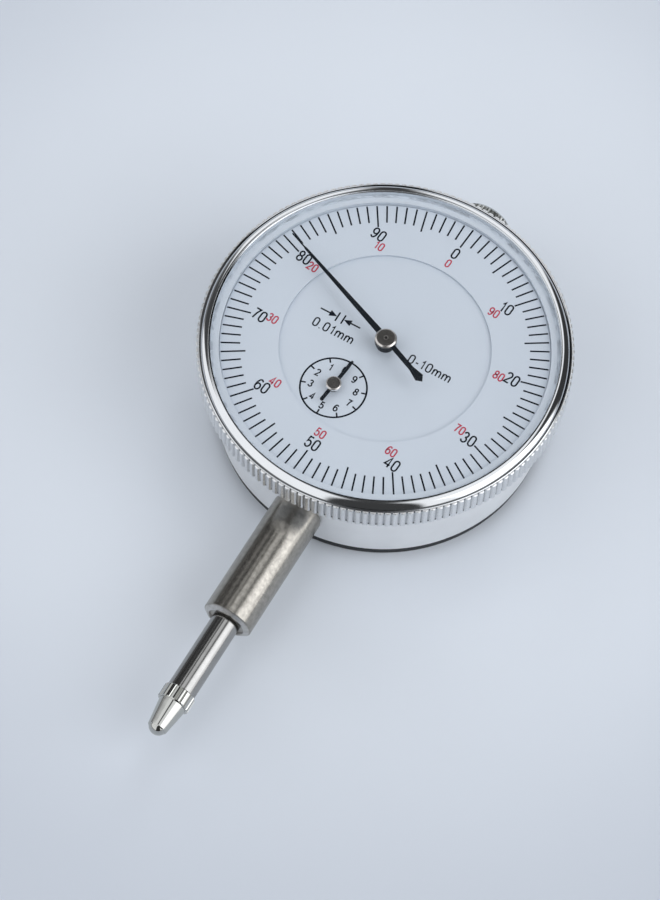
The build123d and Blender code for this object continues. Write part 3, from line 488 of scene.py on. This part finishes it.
def make_bezel():
    """The bezel as one fine mesh: polished lip, painted shade along its creases, pale wall, satin knurl."""
    mesh = bmesh.new()
    section = [(r, z, plain, grooved) for plain, grooved, points in bezel_profile() for r, z in points]
    columns = bezel_columns()
    rings = []
    for angle, limit, _ in columns:
        places = [(min(r, limit) * MM, z * MM) for r, z, _, _ in section]
        rings.append([mesh.verts.new((r * cos(angle), r * sin(angle), z)) for r, z in places])
    for (_, _, in_groove), first, second in zip(columns, rings, rings[1:] + rings[:1]):
        for k, (_, _, plain, grooved) in enumerate(section):
            after = (k + 1) % len(section)
            face = mesh.faces.new((first[k], second[k], second[after], first[after]))
            face.material_index = BEZEL_FINISHES.index(grooved if in_groove else plain)
            face.smooth = True
    bmesh.ops.recalc_face_normals(mesh, faces=mesh.faces)
    ring = placed("bezel_ring", mesh, BEZEL_FINISHES[0], "bezel")
    for finish in BEZEL_FINISHES[1:]:
        ring.data.materials.append(MATERIALS[finish])
    ring.data.set_sharp_from_angle(angle=SHARP_ANGLE)
    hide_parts("bezel")


# ------------------------------------------------------------------- prints

PRINT_THICKNESS = 0.012 * MM
PRINT_LIFT = 0.004 * MM

# A stroke's ends this close, as a share of its width, are one point; and how far a mitre may reach
CLOSED_SHARE = 0.05
SHARPEST_MITRE = 0.5

# The dial's scale, turned with the bezel by about one division
SCALE_TURN = radians(-3.55)
DIVISIONS = 100
TICK_OUTER = 25.15 * MM
TICK_SHORT = 22.15 * MM
TICK_LONG = 21.35 * MM
TICK_WIDTH = 0.26 * MM

# Rows of numerals: radius, height and stroke
BLACK_ROW = (20.0 * MM, 2.05 * MM, 0.26 * MM)
RED_ROW = (17.9 * MM, 1.55 * MM, 0.22 * MM)
NUMERAL_GAP = 0.2
NUMERAL_SQUEEZE = 0.9

# Words on the fixed disc and their middles
WORDS = (("0.01mm", (-8.36 * MM, -1.34 * MM)), ("0-10mm", (7.6 * MM, 0.42 * MM)))
WORD_HEIGHT, WORD_STROKE, WORD_GAP = 1.7 * MM, 0.22 * MM, 0.27

# The two arrows that show one division, with their lengths from its bars
ARROW_MIDDLE = (-8.5 * MM, 1.1 * MM)
BAR_OFFSET, BAR_HALF = 0.5 * MM, 0.85 * MM
ARROW_TAIL, ARROW_HEAD, ARROW_TIP, ARROW_HALF = 3.0 * MM, 1.35 * MM, 0.1 * MM, 0.55 * MM
LINE_WIDTH = 0.25 * MM

# Turn counter: its circle, its ticks, and its numerals' radius, height and stroke
COUNTER_RADIUS = 5.1 * MM
COUNTER_STROKE = 0.28 * MM
COUNTER_TICK = 0.8 * MM
COUNTER_ROW = (3.5 * MM, 1.3 * MM, 0.21 * MM)


def arch(x):
    """One arch of the letter m, from its foot at x up and over."""
    return [(x, 0.46), *arc(x + 0.20, 0.46, 0.20, 0.24, 180, 0, 6), (x + 0.40, 0.0)]


# Strokes of each glyph's centre line in a box one unit high, and the glyph's width
SIX = [arc(0.25, 0.30, 0.25, 0.30, 0, 360, 18), arc(0.29, 0.42, 0.29, 0.58, 185, 48)]
GLYPHS = {
    "0": (0.50, [[*arc(0.25, 0.74, 0.25, 0.26, 0, 180), *arc(0.25, 0.26, 0.25, 0.26, 180, 360),
                  (0.50, 0.74)]]),
    "1": (0.34, [[(0.02, 0.76), (0.14, 0.82), (0.24, 1.0), (0.24, 0.0)]]),
    "2": (0.50, [arc(0.25, 0.74, 0.24, 0.26, 170, -38) + [(0.0, 0.0), (0.50, 0.0)]]),
    "3": (0.50, [arc(0.24, 0.76, 0.21, 0.24, 165, -90), arc(0.24, 0.26, 0.25, 0.26, 90, -165)]),
    "4": (0.54, [[(0.40, 0.0), (0.40, 1.0), (0.0, 0.26), (0.54, 0.26)]]),
    "5": (0.50, [[(0.45, 1.0), (0.09, 1.0), (0.04, 0.50), *arc(0.23, 0.32, 0.26, 0.32, 115, -160)]]),
    "6": (0.50, SIX),
    "7": (0.50, [[(0.0, 1.0), (0.50, 1.0), (0.30, 0.58), (0.19, 0.0)]]),
    "8": (0.50, [arc(0.25, 0.76, 0.21, 0.24, 0, 360, 18), arc(0.25, 0.26, 0.25, 0.26, 0, 360, 18)]),
    "9": (0.50, [[(0.5 - x, 1.0 - y) for x, y in stroke] for stroke in SIX]),
    ".": (0.10, [[(0.05, -0.05), (0.05, 0.05)]]),
    "-": (0.28, [[(0.0, 0.36), (0.28, 0.36)]]),
    "m": (0.80, [[(0.0, 0.0), (0.0, 0.70)], arch(0.0), arch(0.40)]),
}


def line_of_glyphs(text, height, centre, weight, gap=NUMERAL_GAP, squeeze=1.0):
    """Strokes of this weight, in metres, for text of this height centred on a point."""
    across, up = centre
    tall = height - weight
    wide = tall * squeeze
    width = sum(GLYPHS[letter][0] for letter in text) * wide + gap * height * (len(text) - 1)
    x, strokes = -width / 2, []
    for letter in text:
        letter_width, lines = GLYPHS[letter]
        for points in lines:
            moved = [(across + (x + px * wide), up + (py * tall - tall / 2)) for px, py in points]
            strokes.append((moved, weight))
        x += letter_width * wide + gap * height
    return strokes


def ribbon(mesh, points, width, z):
    """One stroke of even width as a thin raised ribbon with mitred corners."""
    closed = (Vector(points[0]) - Vector(points[-1])).length < width * CLOSED_SHARE
    line = [Vector(p) for p in (points[:-1] if closed else points)]
    count = len(line)
    low, high = z + PRINT_LIFT, z + PRINT_LIFT + PRINT_THICKNESS
    rings = []
    for i, point in enumerate(line):
        along = []
        if closed or i:
            along.append((point - line[i - 1]).normalized())
        if closed or i < count - 1:
            along.append((line[(i + 1) % count] - point).normalized())
        mean = sum(along, Vector((0, 0))).normalized()
        side = Vector((-mean.y, mean.x))
        square = Vector((-along[0].y, along[0].x))
        reach = width / 2 / max(side.dot(square), SHARPEST_MITRE)
        left, right = point + side * reach, point - side * reach
        section = ((left, low), (left, high), (right, high), (right, low))
        rings.append([mesh.verts.new((p.x, p.y, h)) for p, h in section])
    pairs = list(zip(rings, rings[1:])) + ([(rings[-1], rings[0])] if closed else [])
    for first, second in pairs:
        for k in range(4):
            mesh.faces.new((first[k], first[(k + 1) % 4], second[(k + 1) % 4], second[k]))
    if not closed:
        mesh.faces.new(rings[0][::-1])
        mesh.faces.new(rings[-1])


def patch(mesh, points, z):
    """A flat printed shape with a little thickness."""
    low, high = z + PRINT_LIFT, z + PRINT_LIFT + PRINT_THICKNESS
    bottom = [mesh.verts.new((x, y, low)) for x, y in points]
    top = [mesh.verts.new((x, y, high)) for x, y in points]
    mesh.faces.new(bottom[::-1])
    mesh.faces.new(top)
    for k in range(len(points)):
        after = (k + 1) % len(points)
        mesh.faces.new((bottom[k], bottom[after], top[after], top[k]))


def printed(name, strokes, z, finish, body, turn=0.0, fills=()):
    """A printed piece: strokes are (points, width) pairs, turned about the dial's axis."""
    mesh = bmesh.new()
    for points, width in strokes:
        ribbon(mesh, points, width, z)
    for points in fills:
        patch(mesh, points, z)
    bmesh.ops.rotate(mesh, cent=(0, 0, 0), matrix=Matrix.Rotation(turn, 3, "Z"), verts=mesh.verts)
    bmesh.ops.recalc_face_normals(mesh, faces=mesh.faces)
    return placed(name, mesh, finish, body)


def placed(name, mesh, finish, body):
    """Turn a bmesh into a piece with a material, a body and a slot."""
    data = bpy.data.meshes.new(name)
    mesh.to_mesh(data)
    mesh.free()
    data.materials.append(MATERIALS[finish])
    piece = bpy.data.objects.new(name, data)
    bpy.context.scene.collection.objects.link(piece)
    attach(piece, body)
    return piece


def clockwise(radius, degrees_from_top):
    """A point on the dial at this many degrees clockwise from the top."""
    turn = radians(degrees_from_top)
    return radius * sin(turn), radius * cos(turn)


def make_scale_prints():
    """Ticks and the two rows of numerals on the turning ring."""
    ticks = []
    for i in range(DIVISIONS):
        inner = TICK_SHORT if i % 5 else TICK_LONG
        turn = 360 / DIVISIONS * i
        ticks.append(([clockwise(inner, turn), clockwise(TICK_OUTER, turn)], TICK_WIDTH))
    printed("scale_ticks", ticks, SCALE_Z, "ink", "bezel", SCALE_TURN)
    values = range(0, DIVISIONS, 10)
    reverse = [(DIVISIONS - value) % DIVISIONS for value in values]
    for name, numbers, row, finish in (("scale_numerals", values, BLACK_ROW, "ink"),
                                       ("reverse_numerals", reverse, RED_ROW, "red_ink")):
        radius, height, stroke = row
        strokes = []
        for i, value in enumerate(numbers):
            place = clockwise(radius, 36 * i)
            strokes += line_of_glyphs(str(value), height, place, stroke, squeeze=NUMERAL_SQUEEZE)
        printed(name, strokes, SCALE_Z, finish, "bezel", SCALE_TURN)


def about_counter(*points):
    """Points moved from the dial's centre to the turn counter's."""
    return [(SMALL_CENTRE.x + x, SMALL_CENTRE.y + y) for x, y in points]


def make_centre_prints():
    """Graduation, range, arrows and the turn counter's scale on the fixed disc."""
    strokes, arrows = [], []
    for text, place in WORDS:
        strokes += line_of_glyphs(text, WORD_HEIGHT, place, WORD_STROKE, WORD_GAP)
    middle, y = ARROW_MIDDLE
    for side in (-1, 1):
        bar = middle + side * BAR_OFFSET
        tail, head = bar + side * ARROW_TAIL, bar + side * ARROW_HEAD
        strokes.append(([(bar, y - BAR_HALF), (bar, y + BAR_HALF)], LINE_WIDTH))
        strokes.append(([(tail, y), (head, y)], LINE_WIDTH))
        arrows.append([(bar + side * ARROW_TIP, y), (head, y + ARROW_HALF), (head, y - ARROW_HALF)])
    circle = arc(0, 0, COUNTER_RADIUS, COUNTER_RADIUS, 0, 360, 72)
    strokes.append((about_counter(*circle), COUNTER_STROKE))
    radius, height, stroke = COUNTER_ROW
    for i in range(10):
        turn = -36 * i
        inner, outer = clockwise(COUNTER_RADIUS - COUNTER_TICK, turn), clockwise(COUNTER_RADIUS, turn)
        strokes.append((about_counter(inner, outer), LINE_WIDTH))
        place = about_counter(clockwise(radius, turn))[0]
        strokes += line_of_glyphs(str(i), height, place, stroke)
    printed("centre_prints", strokes, DISC_Z, "ink", "case", fills=arrows)


# ------------------------------------------------------- floor, light, camera

def make_floor():
    """Plain pale floor under the flat back."""
    mesh = bmesh.new()
    bmesh.ops.create_grid(mesh, x_segments=1, y_segments=1, size=FLOOR_SIZE)
    data = bpy.data.meshes.new("floor")
    mesh.to_mesh(data)
    mesh.free()
    floor = bpy.data.objects.new("floor", data)
    data.materials.append(floor_paint())
    bpy.context.scene.collection.objects.link(floor)


def sky_direction(azimuth, elevation):
    """Unit vector for an azimuth clockwise from +Y and an elevation, in degrees."""
    a, e = radians(azimuth), radians(elevation)
    return sin(a) * cos(e), cos(a) * cos(e), sin(e)


def towards(tree, coords, azimuth, elevation):
    """How far the view direction points to an azimuth and elevation."""
    made = add_node(tree, "ShaderNodeVectorMath", operation="DOT_PRODUCT")
    made.inputs[1].default_value = sky_direction(azimuth, elevation)
    link(tree, coords.outputs["Generated"], made.inputs[0])
    return made.outputs["Value"]


def product(tree, one, other, operation="MULTIPLY"):
    """One sum on two sockets."""
    made = add_node(tree, "ShaderNodeMath", operation=operation)
    link(tree, one, made.inputs[0])
    link(tree, other, made.inputs[1])
    return made.outputs[0]


def blend(tree, share, level, brightness):
    """Level moved to a brightness by a share."""
    made = add_node(tree, "ShaderNodeMix", data_type="FLOAT")
    link(tree, share, made.inputs[MIX_FACTOR])
    link(tree, level, made.inputs[MIX_NUMBER_A])
    made.inputs[MIX_NUMBER_B].default_value = brightness
    return made.outputs[MIX_NUMBER]


def make_studio():
    """Large soft panels with darker zones between them, a gap overhead and a dark horizon."""
    world = bpy.data.worlds.new("studio")
    bpy.context.scene.world = world
    world.use_nodes = True
    coords = add_node(world, "ShaderNodeTexCoord")
    north, east, up = (towards(world, coords, *way) for way in ((0, 0), (90, 0), (0, 90)))
    azimuth = number(world, "DEGREES", product(world, east, north, "ARCTAN2"))
    elevation = number(world, "DEGREES", number(world, "ARCSINE", up))
    level = ease(world, up, *HORIZON, HORIZON_LEVEL, PANEL_LEVEL)
    for middle, height, half_width, half_height, brightness in SKY_ZONES:
        aside = number(world, "PINGPONG", number(world, "SUBTRACT", azimuth, middle), 180)
        above = number(world, "ABSOLUTE", number(world, "SUBTRACT", elevation, height))
        share = product(world, ease(world, aside, half_width + ZONE_EDGE, half_width - ZONE_EDGE),
                        ease(world, above, half_height + ZONE_EDGE, half_height - ZONE_EDGE))
        level = blend(world, share, level, brightness)
    across = number(world, "ABSOLUTE", towards(world, coords, GAP_AZIMUTH + 90, 0))
    front = number(world, "MAXIMUM", towards(world, coords, GAP_AZIMUTH + 180, 0), 0)
    within = product(world, across, number(world, "MULTIPLY", front, GAP_SPREAD), "SUBTRACT")
    level = blend(world, ease(world, within, *GAP_EDGES), level, GAP_LEVEL)
    back = world.node_tree.nodes["Background"]
    back.inputs["Color"].default_value = (*SKY_COLOR, 1)
    link(world, level, back.inputs["Strength"])


def make_camera():
    """The camera, placed by angles about a point on the table."""
    level = cos(CAMERA_ELEVATION)
    back = Vector((sin(CAMERA_AZIMUTH) * level, -cos(CAMERA_AZIMUTH) * level, sin(CAMERA_ELEVATION)))
    right = Vector((0, 0, 1)).cross(back).normalized()
    up = back.cross(right)
    tilted_right = right * cos(CAMERA_ROLL) + up * sin(CAMERA_ROLL)
    tilted_up = up * cos(CAMERA_ROLL) - right * sin(CAMERA_ROLL)
    lens = bpy.data.cameras.new("camera")
    lens.lens = FOCAL_LENGTH
    lens.clip_start = NEAREST
    camera = bpy.data.objects.new("camera", lens)
    place = Matrix((tilted_right, tilted_up, back)).transposed().to_4x4()
    place.translation = CAMERA_TARGET + back * CAMERA_DISTANCE
    camera.matrix_world = place
    bpy.context.scene.collection.objects.link(camera)
    bpy.context.scene.camera = camera


# -------------------------------------------------------------------- build

MATERIALS = make_materials()
finish_nodes()
make_bezel()
make_scale_prints()
make_centre_prints()
make_floor()
make_studio()
make_camera()
bpy.context.scene.view_settings.view_transform = "Standard"
